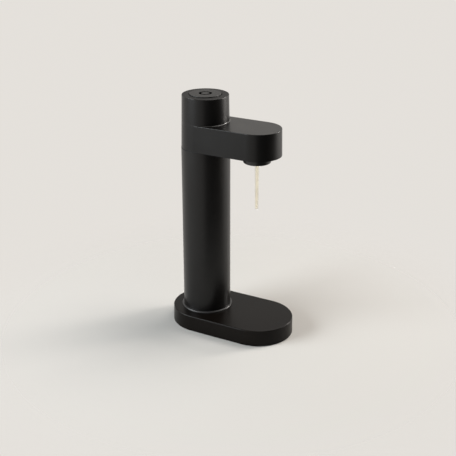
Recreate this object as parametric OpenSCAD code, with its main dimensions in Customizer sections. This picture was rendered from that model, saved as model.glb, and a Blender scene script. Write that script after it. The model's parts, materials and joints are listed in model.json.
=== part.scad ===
// Countertop sparkling water maker: a column that hides the gas cylinder, a head with a push
// button and a bottle arm, and a weighted base with round ends. Sizes are in millimetres.
// +Z is up, +X points to the bottle, and the origin is on the table under the middle of the base.
// The column is as tall as the cylinder needs, and the arm is as deep as the manifold needs.

/* [Base] */
// Length of the base at its foot
base_l = 221; // [204:1:260]
// Width of the base at its foot
base_w = 123; // [118:1:140]
// Height of the base's top face above the table
base_h = 29; // [27:0.5:40]
// Lean of the base's side wall, in degrees
base_draft = 1; // [0.2:0.1:3]
// Rounding of the base's top edge
base_edge_r = 1.6; // [0.6:0.1:2.4]
// Thickness of the base's side wall
base_wall = 2.6; // [1.6:0.1:4]
// Thickness of the base's top wall
base_top_t = 3; // [2:0.1:5]
// Thickness of the steel plate that closes and weights the base
plate_t = 3; // [2:0.2:4]
// Height of the rubber feet
foot_h = 1.2; // [0.8:0.1:3]
// Diameter of a rubber foot
foot_d = 16; // [10:0.5:18]
// Distance of a foot's centre from the edge of the base
foot_inset = 13; // [11.5:0.5:15]

/* [Column] */
// Outside diameter of the column tube
column_d = 82; // [80:0.5:88]
// Wall of the column tube
column_wall = 2.5; // [2:0.1:3]
// Distance of the column's axis behind the centre of the base's rear end
column_setback = 2; // [0:0.5:4]
// Height of the foot casting's flange above the table
flange_z = 9; // [8.5:0.5:12]
// Thickness of the foot casting's flange
flange_t = 5; // [4:0.5:7]
// Width of the collar ring around the column
collar_w = 2.9; // [2:0.1:6]
// Height of the collar ring
collar_h = 2.6; // [1.6:0.1:5]
// Diameter of a tie rod
rod_d = 3; // [2.5:0.1:3.5]

/* [Gas cylinder] */
// Diameter of the gas cylinder
cylinder_d = 60; // [56:0.5:62]
// Length of the gas cylinder from its foot to the top of its valve
cylinder_l = 355; // [330:1:380]
// Height of the cylinder's foot above the table
cylinder_foot_z = 6; // [4:0.5:8]
// Wall of the gas cylinder
cylinder_wall = 2; // [1.5:0.1:4]
// Outside diameter of the valve's thread
thread_d = 21; // [18:0.1:24]
// Length of the valve's thread
thread_l = 14; // [12:0.5:20]
// Diameter of the valve's pin
pin_d = 3.6; // [3:0.1:5]

/* [Head] */
// Distance from the column's axis to the bottle's axis
reach = 96; // [90:1:120]
// Step from the column tube in to the head
head_step = 0.3; // [0.1:0.1:1]
// Lean of the head's sides, in degrees
head_draft = 1.2; // [0.2:0.1:2]
// Wall of the head housing
head_wall = 2.5; // [2:0.1:3]
// Rounding of the head's top edges
head_edge_r = 0.8; // [0.4:0.1:1.6]
// Thickness of the cover under the arm
cover_t = 2.5; // [1.6:0.1:4]
// Thickness of the head frame's plates
frame_t = 4; // [3:0.5:6]

/* [Button] */
// Diameter of the button's visible cap
button_d = 52.4; // [46:0.2:56]
// Gap between the button and the head around it
button_gap = 0.8; // [0.5:0.1:1.5]
// Height of the button above the head's top
button_proud = 1.5; // [0.2:0.1:2]
// Thickness of the button's cap
button_t = 4; // [2.4:0.1:5]
// Travel of the button
button_travel = 5; // [3:0.5:6]
// Length of the button's post
post_l = 14; // [12:0.5:20]
// Diameter of the button's post
post_d = 5; // [4:0.5:6]
// Outside diameter of the ring mark on the button
mark_d = 22; // [12:0.5:30]
// Width of the ring mark's groove
mark_w = 4.2; // [1:0.1:5]

/* [Lever] */
// Distance of the lever's pivot behind the column's axis
pivot_x = 14; // [12:0.5:16]
// Distance of the button's post in front of the column's axis
post_x = 20; // [17:0.5:21]
// Thickness of the lever
lever_t = 5; // [4:0.5:7]
// Width of the lever
lever_w = 12; // [10:0.5:14]
// Height of the lever above the valve block
lever_lift = 8; // [7.5:0.5:12]
// Diameter of the lever's pivot pin
pivot_d = 5; // [4:0.5:6]

/* [Bottle side] */
// Diameter of the bottle socket
socket_d = 46; // [44:0.5:50]
// Drop of the bottle socket below the arm
socket_drop = 13; // [8:0.5:20]
// Bore of the bottle socket
neck_d = 36; // [30:0.5:38]
// Depth of the bottle socket's bore
neck_depth = 20; // [16:0.5:23]
// Diameter of the lance at the socket
lance_d = 8; // [6.5:0.1:9]
// Diameter of the lance at its tip
lance_tip_d = 6; // [5:0.1:8]
// Length of the lance below the socket
lance_l = 81; // [60:1:110]
// Height of the manifold above its flange's foot
manifold_h = 18; // [17:0.5:24]
// Travel of the relief poppet
relief_travel = 1.5; // [0.8:0.1:2]

/* [Clearances] */
// Gap all round a piece that is set into another
set_gap = 0.2; // [0.1:0.05:0.3]
// Gap all round a turning or sliding shaft
run_gap = 0.05; // [0.02:0.01:0.1]
// Gap between pieces that push each other, at rest
push_gap = 0.2; // [0.15:0.05:0.3]
// Gap between moving pieces that don't touch
free_gap = 0.4; // [0.3:0.05:0.8]

/* [Hidden] */
$fn = 96;
eps = 0.01;

BLACK = [0.13, 0.13, 0.135];
BLACK_PART = [0.16, 0.16, 0.165];
STEEL = [0.62, 0.63, 0.65];
CAST = [0.5, 0.51, 0.53];
BRASS = [0.72, 0.57, 0.28];
RUBBER = [0.09, 0.09, 0.09];
NYLON = [0.78, 0.77, 0.72];
LANCE = [0.9, 0.87, 0.74];
PAINT = [0.32, 0.4, 0.47];

// Screw sizes: shank radius, head radius and head height
screw_r = 1.5;
screw_head_r = 2.7;
screw_head_h = 2.2;
boss_r = 3.4;

// Length of each kind of screw in its boss, and room left under its end
plate_bite = 5.5;
foot_bite = 7;
block_bite = 7;
housing_bite = 9;
cover_bite = 7;
bracket_bite = 5;
socket_bite = 3;
bite_room = 2;

// Places along the base
base_run = base_l - base_w;
column_x = -base_run / 2 - column_setback;
nozzle_x = column_x + reach;
cylinder_r = cylinder_d / 2;

// Heights, from the table up to the button
plate_top = foot_h + plate_t;
tube_z = flange_z + flange_t;
valve_top = cylinder_foot_z + cylinder_l;
block_z = valve_top - thread_l;
gasket_t = 2;
gasket_gap = 0.05;
seat_z = valve_top + gasket_t;
chamber_h = 6;
gland_z = seat_z + chamber_h;
gland_h = 10;
block_top = gland_z + gland_h;
lever_z = block_top + lever_lift;
lever_top = lever_z + lever_t;
cap_z = lever_top + post_l;
button_top = cap_z + button_t;
head_top = button_top - button_proud;
well_z = head_top - head_wall;

// Heights, from the valve block down to the bottle
tube_lift = 5;
inlet_rise = 12;
plate_rise = 16;
ceiling_gap = 4.1;
gas_z = block_z + tube_lift;
frame_top = gas_z - inlet_rise;
frame_z = frame_top - frame_t;
arm_z = frame_z - plate_rise;
manifold_top = frame_top + manifold_h;
arm_top = manifold_top + ceiling_gap + head_wall;
ceiling_z = arm_top - head_wall;
socket_z = arm_z - socket_drop;
lance_z = socket_z - lance_l;
seal_t = 3;
seal_w = 6;
neck_top = socket_z + neck_depth;
lance_collar_h = 4;
lance_seat = 6;
collar_z = frame_z - lance_collar_h;
lance_top = frame_top + lance_seat;

// Tie rods around the cylinder, and the tube around the rods and the nuts in the head
guide_gap = 0.8;
rod_wall = 1.05;
rod_r = cylinder_r + guide_gap + rod_wall + rod_d / 2 + run_gap;
rod_turn = [60, 180, 300];
nut_af = rod_d + 2.5;
nut_h = rod_d - 0.4;
column_need = rod_r + nut_af / 2 + free_gap + head_wall + (block_z - arm_z) * tan(head_draft) + head_step;
column_r = max(column_d / 2, column_need);
tube_in_r = column_r - column_wall;

// Head's outside and inside half widths at a height
head_r = column_r - head_step;
function head_out(z) = head_r - (z - arm_z) * tan(head_draft);
function head_in(z) = head_out(z) - head_wall;

// Spigots and the foot casting
spigot_r = tube_in_r - set_gap;
spigot_wall = 1.5;
spigot_in = spigot_r - spigot_wall;
spigot_l = 5;
spigot_drop = 20;
flange_lip = 9;
flange_r = column_r + flange_lip;
foot_screw_out = 5;
foot_screw_r = column_r + foot_screw_out;
lug_w = 10;
lug_lap = 0.8;
foot_screw_turn = [45, 135, 225, 315];
pillar_turn = [90, 180, 270];
ledge_t = 1.8;
ledge_r = column_r - 1.5;
frame_wall_r = head_in(block_z) - free_gap;
frame_wall_in = frame_wall_r - 1.3;
platform_z = block_z - frame_t;
hub_r = 17;
plate_hole_r = spigot_in + set_gap;
guide_wall = 3;
guide_lug_w = 12;
guide_h = 8;
seam = 0.4;

// Ribs, plate screws and feet of the base
rib_front = 20;
rib_gap = 35;
rib_t = 2;
rib_h = 8;
boss_back = 39;
base_boss = base_w / 2 - base_wall - boss_r - 1.6;
base_boss_at = [[base_run / 2 - boss_back, base_boss], [base_run / 2 - boss_back, -base_boss],
    [base_run / 2 + base_boss * cos(30), base_boss * sin(30)],
    [base_run / 2 + base_boss * cos(30), -base_boss * sin(30)]];
pillar_at = [for (a = pillar_turn) [column_x + foot_screw_r * cos(a), foot_screw_r * sin(a)]];
foot_ring = base_w / 2 - foot_inset;
foot_at = [for (sx = [-1, 1], sy = [-1, 1])
    [sx * (base_run / 2 + foot_ring * cos(45)), sy * foot_ring * sin(45)]];

// Button, spring and valve block
button_r = button_d / 2;
hole_r = button_r + button_gap;
skirt_lip = 3.1;
skirt_wall = 2;
skirt_r = hole_r + skirt_lip;
skirt_in = skirt_r - skirt_wall;
skirt_l = 8;
cap_wall = 2.4;
stop_z = well_z - 0.1;
stop_t = 2;
spring_top = stop_z - stop_t;
sleeve_in = skirt_r + set_gap;
sleeve_wall = 1.6;
sleeve_r = sleeve_in + sleeve_wall;
sleeve_l = skirt_l + button_travel - 1;
spring_wire = 1.6;
spring_room = 1.5;
spring_seat = 2;
spring_r = skirt_in - spring_wire / 2 - spring_room;
block_flange_r = spring_r + spring_seat;
block_rim = 5;
block_r = hub_r + block_rim;
block_screw_r = hub_r;
bore_gap = 0.1;
gland_r = 3;
tip_r = pin_d / 2 - 0.1;
pin_drop = 2;
pin_l = 12;
pin_top = valve_top - pin_drop;
lever_ratio = pivot_x / (pivot_x + post_x);

// Lever and its bracket
nose_over = 0.5;
pivot_z = lever_z + lever_t / 2;
barrel_wall = 2.5;
barrel_r = pivot_d / 2 + barrel_wall;
ear_in = lever_w / 2 + free_gap;
ear_t = 1.8;
ear_lip = 1;
ear_r = barrel_r + ear_lip;
bracket_t = 1.5;
bracket_w = 32;
bracket_front = 6;
bracket_screw_x = -4;
bracket_screw_y = bracket_w / 2 - 3.5;
bracket_screw = [[bracket_screw_x, bracket_screw_y], [bracket_screw_x, -bracket_screw_y]];

// Gas elbow, tube and manifold
gas_r = 2.5;
gas_bore = 1.5;
elbow_w = 11;
elbow_bite = 4;
elbow_pin_r = 3;
elbow_wall = 0.6;
elbow_nut_h = 2.5;
elbow_socket = 3.2;
elbow_x = block_r + elbow_w / 2;
elbow_z = seat_z + chamber_h / 2;
bend_r = elbow_z - elbow_w / 2 - elbow_nut_h - gas_z;
manifold_r = 14;
inlet_depth = 4;
nut_l = 4;
nut_lip = 2.2;
housing_boss_ring = head_in(ceiling_z) - boss_r - 0.9;
manifold_flange_r = housing_boss_ring - boss_r - 0.6;
manifold_flange_t = 5;
manifold_spigot = manifold_r - 1;
socket_r = socket_d / 2;
socket_flange_r = manifold_flange_r;
socket_flange_t = 4;
socket_screw_ring = socket_r + screw_head_r + 0.3;
socket_turn = [60, 180, 300];
housing_screw_back = 38;
housing_screw_y = 28;
housing_screw_at = [[reach - housing_screw_back, housing_screw_y],
    [reach - housing_screw_back, -housing_screw_y],
    [reach + housing_boss_ring * cos(45), housing_boss_ring * sin(45)],
    [reach + housing_boss_ring * cos(45), -housing_boss_ring * sin(45)]];
cover_screw_back = 45;
cover_screw_y = 22;
cover_screw_at = [for (y = [cover_screw_y, -cover_screw_y]) [reach - cover_screw_back, y]];
cover_start = 8;
frame_start = 14;

// Relief valve, beside the manifold's body
relief_r = 6.5;
relief_x = manifold_r + relief_r + 0.8;
relief_z = frame_top + manifold_flange_t;
relief_h = 14;
port_z = frame_top + 2;
port_slope = atan((lance_top + 1 - port_z) / relief_x);
relief_in = 4.4;
poppet_t = 3;
relief_lid = 1.6;
vent_r = 1.5;
stem_r = vent_r + 0.1;
poppet_gap = 0.1;
stem_h = relief_h - relief_lid - 2 * poppet_gap - relief_travel;
relief_wire = 0.7;

module at_column() {
    translate([column_x, 0, 0]) children();
}

module at_nozzle() {
    translate([nozzle_x, 0, 0]) children();
}

// Ring from radius r_in to r_out between two heights
module ring(r_out, r_in, z0, z1) {
    translate([0, 0, z0])
        difference() {
            cylinder(r = r_out, h = z1 - z0);
            translate([0, 0, -1]) cylinder(r = r_in, h = z1 - z0 + 2);
        }
}

// Side profile of a leaning wall, x is the half width and y the height, with a rounded top edge
module side_profile(r, z0, z1, lean, e) {
    zc = z1 - e;
    rc = r - (zc - z0) * tan(lean) - e / cos(lean);
    union() {
        polygon([[0, z0], [r, z0], [rc + e * cos(lean), zc + e * sin(lean)], [rc, zc], [rc, z1], [0, z1]]);
        corner(rc, zc, e, lean, 90);
    }
}

// Plain side profile without the rounding
module plain_profile(r0, z0, r1, z1) {
    polygon([[0, z0], [r0, z0], [r1, z1], [0, z1]]);
}

// Slice of a disc around (x, y) from one angle to the other, less than half a turn
module corner(x, y, r, a0, a1) {
    am = (a0 + a1) / 2;
    intersection() {
        translate([x, y]) circle(r = r);
        polygon([[x, y], [x + 3 * r * cos(a0), y + 3 * r * sin(a0)],
            [x + 3 * r * cos(am), y + 3 * r * sin(am)], [x + 3 * r * cos(a1), y + 3 * r * sin(a1)]]);
    }
}

// Carries a side profile straight from x0 to x1 and round the front end
module tongue(x0, x1) {
    translate([x0, 0, 0])
        rotate([90, 0, 90])
            linear_extrude(height = x1 - x0)
                union() {
                    children();
                    mirror([1, 0, 0]) children();
                }
    translate([x1, 0, 0]) rotate([0, 0, -90]) rotate_extrude(angle = 180) children();
}

// Carries a side profile all round a stadium whose end centres lie at x0 and x1
module track(x0, x1) {
    tongue(x0, x1) children();
    translate([x0, 0, 0]) rotate([0, 0, 90]) rotate_extrude(angle = 180) children();
}

// Screw that points up, with its head under the height z
module screw(z, length) {
    translate([0, 0, z - screw_head_h]) cylinder(r = screw_head_r, h = screw_head_h);
    translate([0, 0, z - eps]) cylinder(r = screw_r, h = length + eps);
}

// Countersunk screw that points up, flush with the height z
module flush_screw(z, length) {
    translate([0, 0, z]) cylinder(r1 = screw_head_r, r2 = screw_r, h = screw_head_r - screw_r);
    translate([0, 0, z + screw_head_r - screw_r - eps])
        cylinder(r = screw_r, h = length - screw_head_r + screw_r + eps);
}

// Hole for a flush screw, a little larger all round
module flush_hole(z, depth) {
    g = run_gap;
    translate([0, 0, z - 1]) cylinder(r = screw_head_r + g, h = 1 + g);
    translate([0, 0, z + g])
        cylinder(r1 = screw_head_r + g, r2 = screw_r + g, h = screw_head_r - screw_r);
    translate([0, 0, z]) cylinder(r = screw_r + g, h = depth);
}

// Points of a wound wire's centre line, ends held level
function coil_at(r, h, turns, i, n) =
    let (u = i / n, s = turns * 360 * u)
    [r * cos(s), r * sin(s), h * (u * u * (3 - 2 * u) * 0.25 + u * 0.75)];

// Wound wire standing on z = 0, one unbroken tube of six sides
module coil(r, wire, h, turns) {
    n = turns * 12;
    w = wire / 2;
    sides = 6;
    points = [for (i = [0:n]) let (c = coil_at(r, h - wire, turns, i, n), s = turns * 360 * i / n)
        for (k = [0:sides - 1]) let (q = r + w * cos(60 * k + 30))
        [q * cos(s), q * sin(s), c[2] + w + w * sin(60 * k + 30) / sin(90)]];
    walls = [for (i = [0:n - 1]) for (k = [0:sides - 1])
        let (a = i * sides + k, b = i * sides + (k + 1) % sides)
        each [[a, b, b + sides], [a, b + sides, a + sides]]];
    start = [for (k = [1:sides - 2]) [0, k + 1, k]];
    finish = [for (k = [1:sides - 2]) [n * sides, n * sides + k, n * sides + k + 1]];
    least = min([for (i = [0:n - 12])
        norm(coil_at(r, h - wire, turns, i + 12, n) - coil_at(r, h - wire, turns, i, n)) - wire]);
    echo(least_gap_between_turns = least);
    polyhedron(points = points, faces = concat(walls, start, finish), convexity = 8);
}

module base_housing() {
    z_in = base_h - base_top_t;
    lean = tan(base_draft);
    r_foot = base_w / 2 - base_wall;
    color(BLACK)
        difference() {
            union() {
                difference() {
                    track(-base_run / 2, base_run / 2)
                        side_profile(base_w / 2, foot_h, base_h, base_draft, base_edge_r);
                    track(-base_run / 2, base_run / 2)
                        plain_profile(r_foot + lean, foot_h - 1, r_foot - (z_in - foot_h) * lean, z_in);
                }
                for (p = base_boss_at)
                    translate([p[0], p[1], plate_top]) cylinder(r = boss_r, h = z_in - plate_top + 1);
                for (a = foot_screw_turn)
                    translate([column_x + foot_screw_r * cos(a), foot_screw_r * sin(a), tube_z])
                        cylinder(r = boss_r, h = z_in - tube_z + 1);
                for (x = [base_run / 2 - rib_front - rib_gap, base_run / 2 - rib_front])
                    translate([x, -r_foot - 1, z_in - rib_h]) cube([rib_t, 2 * r_foot + 2, rib_h + 0.5]);
            }
            at_column() translate([0, 0, tube_z - 1]) cylinder(r = column_r + set_gap, h = base_h);
            for (p = base_boss_at)
                translate([p[0], p[1], plate_top - 1])
                    cylinder(r = screw_r + run_gap, h = plate_bite + bite_room + 1);
            for (a = foot_screw_turn)
                translate([column_x + foot_screw_r * cos(a), foot_screw_r * sin(a), tube_z - 1])
                    cylinder(r = screw_r + run_gap, h = foot_bite + bite_room + 1);
        }
}

module base_plate() {
    color(STEEL)
        difference() {
            track(-base_run / 2, base_run / 2)
                plain_profile(base_w / 2 - base_wall - set_gap - plate_t * tan(base_draft), foot_h,
                    base_w / 2 - base_wall - set_gap - plate_t * tan(base_draft), plate_top);
            at_column() translate([0, 0, -1]) cylinder(r = plate_hole_r, h = plate_top + 2);
            for (p = concat(base_boss_at, pillar_at))
                translate([p[0], p[1], 0]) flush_hole(foot_h, plate_t + 1);
            for (p = foot_at)
                translate([p[0], p[1], 0]) cylinder(r = foot_d / 4 + set_gap, h = plate_top + 1);
        }
}

module rubber_feet() {
    color(RUBBER)
        for (p = foot_at)
            translate([p[0], p[1], 0])
                union() {
                    cylinder(r1 = foot_d / 2 - 0.5, r2 = foot_d / 2, h = foot_h);
                    cylinder(r = foot_d / 4, h = plate_top);
                }
}

module base_screws() {
    color(STEEL)
        for (p = concat(base_boss_at, pillar_at))
            translate([p[0], p[1], 0]) flush_screw(foot_h, plate_t + plate_bite);
}

module column_foot() {
    lug_x = cylinder_r + 0.9;
    color(CAST)
        at_column()
            difference() {
                union() {
                    rotate_extrude()
                        polygon([[spigot_in, flange_z], [flange_r, flange_z], [flange_r, tube_z],
                            [spigot_r, tube_z], [spigot_r, tube_z + spigot_l], [spigot_in, tube_z + spigot_l]]);
                    for (a = rod_turn)
                        rotate([0, 0, a])
                            translate([lug_x, -lug_w / 2, flange_z])
                                cube([spigot_in - lug_x + lug_lap, lug_w, flange_t]);
                    for (a = pillar_turn)
                        rotate([0, 0, a])
                            translate([foot_screw_r, 0, plate_top])
                                cylinder(r = boss_r, h = flange_z - plate_top + 1);
                }
                for (a = rod_turn)
                    rotate([0, 0, a])
                        translate([rod_r, 0, flange_z - 1]) cylinder(r = rod_d / 2 + run_gap, h = flange_t + 2);
                for (a = foot_screw_turn)
                    rotate([0, 0, a])
                        translate([foot_screw_r, 0, flange_z - 1])
                            cylinder(r = screw_r + run_gap, h = flange_t + 2);
                for (a = pillar_turn)
                    rotate([0, 0, a])
                        translate([foot_screw_r, 0, plate_top - 1])
                            cylinder(r = screw_r + run_gap, h = plate_bite + bite_room + 1);
            }
}

module foot_screws() {
    color(STEEL)
        at_column()
            for (a = foot_screw_turn)
                rotate([0, 0, a]) translate([foot_screw_r, 0, 0]) screw(flange_z, flange_t + foot_bite);
}

module column_collar() {
    r_in = column_r + set_gap / 2;
    r_out = r_in + collar_w;
    top = base_h + collar_h;
    e = min(collar_w, collar_h) * 0.75;
    color(BLACK_PART)
        at_column()
            rotate_extrude()
                union() {
                    polygon([[r_in, base_h], [r_out, base_h], [r_out, top - e], [r_out - e, top - e],
                        [r_out - e, top], [r_in, top]]);
                    corner(r_out - e, top - e, e, 0, 90);
                }
}

// Column tube, with its top edge broken where the head sits on it
module column_tube() {
    color(BLACK)
        at_column()
            rotate_extrude()
                polygon([[tube_in_r, tube_z], [column_r, tube_z], [column_r, arm_z - seam],
                    [column_r - seam, arm_z], [tube_in_r, arm_z]]);
}

module tie_rods() {
    z0 = flange_z - nut_h - 1;
    color(STEEL)
        at_column()
            for (a = rod_turn)
                rotate([0, 0, a])
                    translate([rod_r, 0, z0]) cylinder(r = rod_d / 2, h = block_z + nut_h + 1 - z0);
}

module tie_rod_nuts() {
    color(STEEL)
        at_column()
            for (a = rod_turn, z = [flange_z - nut_h, block_z])
                rotate([0, 0, a])
                    translate([rod_r, 0, z])
                        difference() {
                            rotate([0, 0, 30]) cylinder(r = nut_af / sqrt(3), h = nut_h, $fn = 6);
                            translate([0, 0, -1]) cylinder(r = rod_d / 2 + run_gap, h = nut_h + 2);
                        }
}

// Ring around the gas cylinder, with lugs that sit on the tie rods and in the tube
module cylinder_guide() {
    z0 = (tube_z + arm_z) / 2;
    r_in = cylinder_r + guide_gap;
    color(NYLON)
        at_column()
            difference() {
                union() {
                    ring(r_in + guide_wall, r_in, z0, z0 + guide_h);
                    intersection() {
                        ring(spigot_r, r_in, z0, z0 + guide_h);
                        for (a = rod_turn)
                            rotate([0, 0, a])
                                translate([r_in + guide_wall / 2, -guide_lug_w / 2, z0])
                                    cube([spigot_r - r_in, guide_lug_w, guide_h]);
                    }
                }
                for (a = rod_turn)
                    rotate([0, 0, a])
                        translate([rod_r, 0, z0 - 1]) cylinder(r = rod_d / 2 + run_gap, h = guide_h + 2);
            }
}

// Valve heights
hex_h = 8;
hex_r = 15;
shank_h = 8;
shank_step = 1.2;
stub_l = 14;
hex_z = block_z - shank_h - hex_h;
neck_r = 13;
neck_in = 9;
neck_h = 5;
edge_r = 6;

// Outline of the gas cylinder, drawn in by t on every side but the neck's end
module cylinder_outline(t, r_neck) {
    r = cylinder_r - t;
    z0 = cylinder_foot_z + t;
    e = edge_r - t;
    dome = cylinder_r - t;
    zc = hex_z - neck_h - sqrt(cylinder_r * cylinder_r - neck_r * neck_r);
    union() {
        polygon([[0, z0], [r - e, z0], [r - e, z0 + e], [r, z0 + e], [r, zc], [0, zc]]);
        corner(r - e, z0 + e, e, -90, 0);
        corner(0, zc, dome, 0, 90);
        polygon([[0, zc], [r_neck, zc], [r_neck, hex_z], [0, hex_z]]);
    }
}

module gas_cylinder() {
    color(PAINT)
        at_column()
            rotate_extrude()
                difference() {
                    cylinder_outline(0, neck_r);
                    cylinder_outline(cylinder_wall, neck_in);
                }
}

module cylinder_valve() {
    pin_r = pin_d / 2;
    bore_r = pin_r + 0.15;
    bore_z = pin_top - pin_l - 4;
    color(BRASS)
        at_column()
            difference() {
                union() {
                    translate([0, 0, hex_z - stub_l]) cylinder(r = neck_in - run_gap, h = stub_l);
                    translate([0, 0, hex_z]) cylinder(r = hex_r, h = hex_h, $fn = 6);
                    translate([0, 0, hex_z + hex_h]) cylinder(r = thread_d / 2 - shank_step, h = shank_h);
                    translate([0, 0, block_z]) cylinder(r = thread_d / 2, h = thread_l);
                }
                translate([0, 0, bore_z]) cylinder(r = bore_r, h = valve_top - bore_z + 1);
            }
}

module valve_pin() {
    color(STEEL)
        at_column() translate([0, 0, pin_top - pin_l]) cylinder(r = pin_d / 2, h = pin_l);
}

module cylinder_gasket() {
    color(RUBBER)
        at_column() ring(thread_d / 2 - 1, gland_r + 1, valve_top + gasket_gap, seat_z);
}

module valve_block() {
    socket_in = thread_d / 2 + bore_gap;
    color(BRASS)
        at_column()
            difference() {
                union() {
                    translate([0, 0, block_z]) cylinder(r = block_r, h = block_top - block_z);
                    translate([0, 0, block_top - 4]) cylinder(r = block_flange_r, h = 4);
                }
                translate([0, 0, block_z - 1]) cylinder(r = socket_in, h = thread_l + gasket_t + 1);
                translate([0, 0, seat_z - 1]) cylinder(r = gland_r + 1, h = chamber_h + 1);
                translate([0, 0, gland_z - 1]) cylinder(r = gland_r + run_gap, h = gland_h + 2);
                translate([0, 0, gland_z + 3]) cylinder(r = gland_r + 2.1, h = 2.2);
                translate([0, 0, elbow_z]) rotate([0, 90, 0]) cylinder(r = gas_bore, h = block_r + 1);
                translate([block_r - elbow_bite, 0, elbow_z])
                    rotate([0, 90, 0]) cylinder(r = elbow_pin_r + run_gap, h = elbow_bite + 1);
                for (a = [45, 135, 225, 315])
                    rotate([0, 0, a])
                        translate([block_screw_r, 0, block_z - 1])
                            cylinder(r = screw_r + run_gap, h = block_bite + bite_room + 1);
                for (p = bracket_screw)
                    translate([p[0], p[1], block_top - bracket_bite - bite_room])
                        cylinder(r = screw_r + run_gap, h = bracket_bite + bite_room + 1);
            }
}

module block_screws() {
    color(STEEL)
        at_column()
            for (a = [45, 135, 225, 315])
                rotate([0, 0, a]) translate([block_screw_r, 0, 0]) screw(platform_z, frame_t + block_bite);
}

module plunger() {
    tip_z = pin_top + push_gap;
    top = lever_z - push_gap;
    color(STEEL)
        at_column()
            union() {
                translate([0, 0, tip_z]) cylinder(r = tip_r, h = gland_z - tip_z + 1);
                translate([0, 0, gland_z]) cylinder(r = gland_r, h = top - gland_r - gland_z);
                translate([0, 0, top - gland_r])
                    rotate_extrude() corner(0, 0, gland_r, 0, 90);
            }
}

module plunger_oring() {
    color(RUBBER)
        at_column()
            translate([0, 0, gland_z + 4.1])
                rotate_extrude() translate([gland_r + 1.05, 0]) circle(r = 1, $fn = 32);
}

module gas_elbow() {
    color(BRASS)
        at_column()
            difference() {
                union() {
                    translate([block_r, -elbow_w / 2, elbow_z - elbow_w / 2]) cube(elbow_w);
                    translate([block_r - elbow_bite + run_gap, 0, elbow_z])
                        rotate([0, 90, 0]) cylinder(r = elbow_pin_r, h = elbow_bite + 1);
                    translate([elbow_x, 0, elbow_z - elbow_w / 2 - elbow_nut_h])
                        cylinder(r = gas_r + nut_lip, h = elbow_nut_h + 1, $fn = 6);
                }
                translate([block_r - elbow_bite - 1, 0, elbow_z])
                    rotate([0, 90, 0])
                        cylinder(r = gas_bore, h = elbow_w / 2 + elbow_bite + 1 + gas_bore + elbow_wall);
                translate([elbow_x, 0, elbow_z - elbow_w]) cylinder(r = gas_bore - 0.3, h = elbow_w);
                translate([elbow_x, 0, elbow_z - elbow_w / 2 - elbow_nut_h - 1])
                    cylinder(r = gas_r + run_gap, h = elbow_nut_h + 1 + elbow_socket);
            }
}

// Run of the gas tube with a given radius
module gas_run(r) {
    top = elbow_z - elbow_w / 2 + elbow_socket - set_gap;
    x_bend = elbow_x + bend_r;
    z_bend = gas_z + bend_r;
    x_end = reach - manifold_r + inlet_depth - run_gap;
    translate([elbow_x, 0, z_bend]) cylinder(r = r, h = top - z_bend);
    translate([x_bend, 0, z_bend])
        rotate([90, 0, 0])
            rotate([0, 0, 180]) rotate_extrude(angle = 90) translate([bend_r, 0]) circle(r = r, $fn = 48);
    translate([x_bend, 0, gas_z]) rotate([0, 90, 0]) cylinder(r = r, h = x_end - x_bend);
}

module gas_tube() {
    color(STEEL)
        at_column()
            difference() {
                gas_run(gas_r);
                gas_run(gas_bore);
            }
}

module inlet_nut() {
    color(BRASS)
        at_column()
            translate([reach - manifold_r - nut_l, 0, gas_z])
                rotate([0, 90, 0])
                    difference() {
                        cylinder(r = gas_r + nut_lip, h = nut_l, $fn = 6);
                        translate([0, 0, -1]) cylinder(r = gas_r + run_gap, h = nut_l + 2);
                    }
}

module head_frame() {
    arm_r = head_in(frame_top) - free_gap;
    color(NYLON)
        at_column()
            difference() {
                union() {
                    rotate_extrude()
                        polygon([[spigot_in, arm_z - spigot_drop], [spigot_r, arm_z - spigot_drop],
                            [spigot_r, arm_z], [ledge_r, arm_z], [ledge_r, arm_z + ledge_t],
                            [frame_wall_r, arm_z + ledge_t],
                            [frame_wall_r, block_z], [hub_r - 4, block_z], [hub_r - 4, platform_z],
                            [frame_wall_in, platform_z], [frame_wall_in, arm_z], [spigot_in, arm_z]]);
                    difference() {
                        tongue(frame_start, reach) plain_profile(arm_r, frame_z, arm_r, frame_top);
                        translate([0, 0, frame_z - 1]) cylinder(r = frame_wall_r - 0.6, h = frame_t + 2);
                    }
                    for (p = cover_screw_at)
                        translate([p[0], p[1], arm_z + cover_t])
                            cylinder(r = boss_r, h = frame_z - arm_z - cover_t + 1);
                }
                translate([reach, 0, frame_z - 1]) cylinder(r = manifold_spigot + set_gap, h = frame_t + 2);
                for (a = socket_turn)
                    translate([reach + socket_screw_ring * cos(a), socket_screw_ring * sin(a), frame_z - 1])
                        cylinder(r = screw_r + run_gap, h = frame_t + 2);
                for (p = housing_screw_at)
                    translate([p[0], p[1], frame_z - 1]) cylinder(r = screw_r + run_gap, h = frame_t + 2);
                for (p = cover_screw_at)
                    translate([p[0], p[1], arm_z + cover_t - 1])
                        cylinder(r = screw_r + run_gap, h = cover_bite + bite_room + 1);
                for (a = rod_turn)
                    rotate([0, 0, a])
                        translate([rod_r, 0, platform_z - 1])
                            cylinder(r = rod_d / 2 + run_gap, h = frame_t + 2);
                for (a = [45, 135, 225, 315])
                    rotate([0, 0, a])
                        translate([block_screw_r, 0, platform_z - 1])
                            cylinder(r = screw_r + run_gap, h = frame_t + 2);
            }
}

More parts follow.
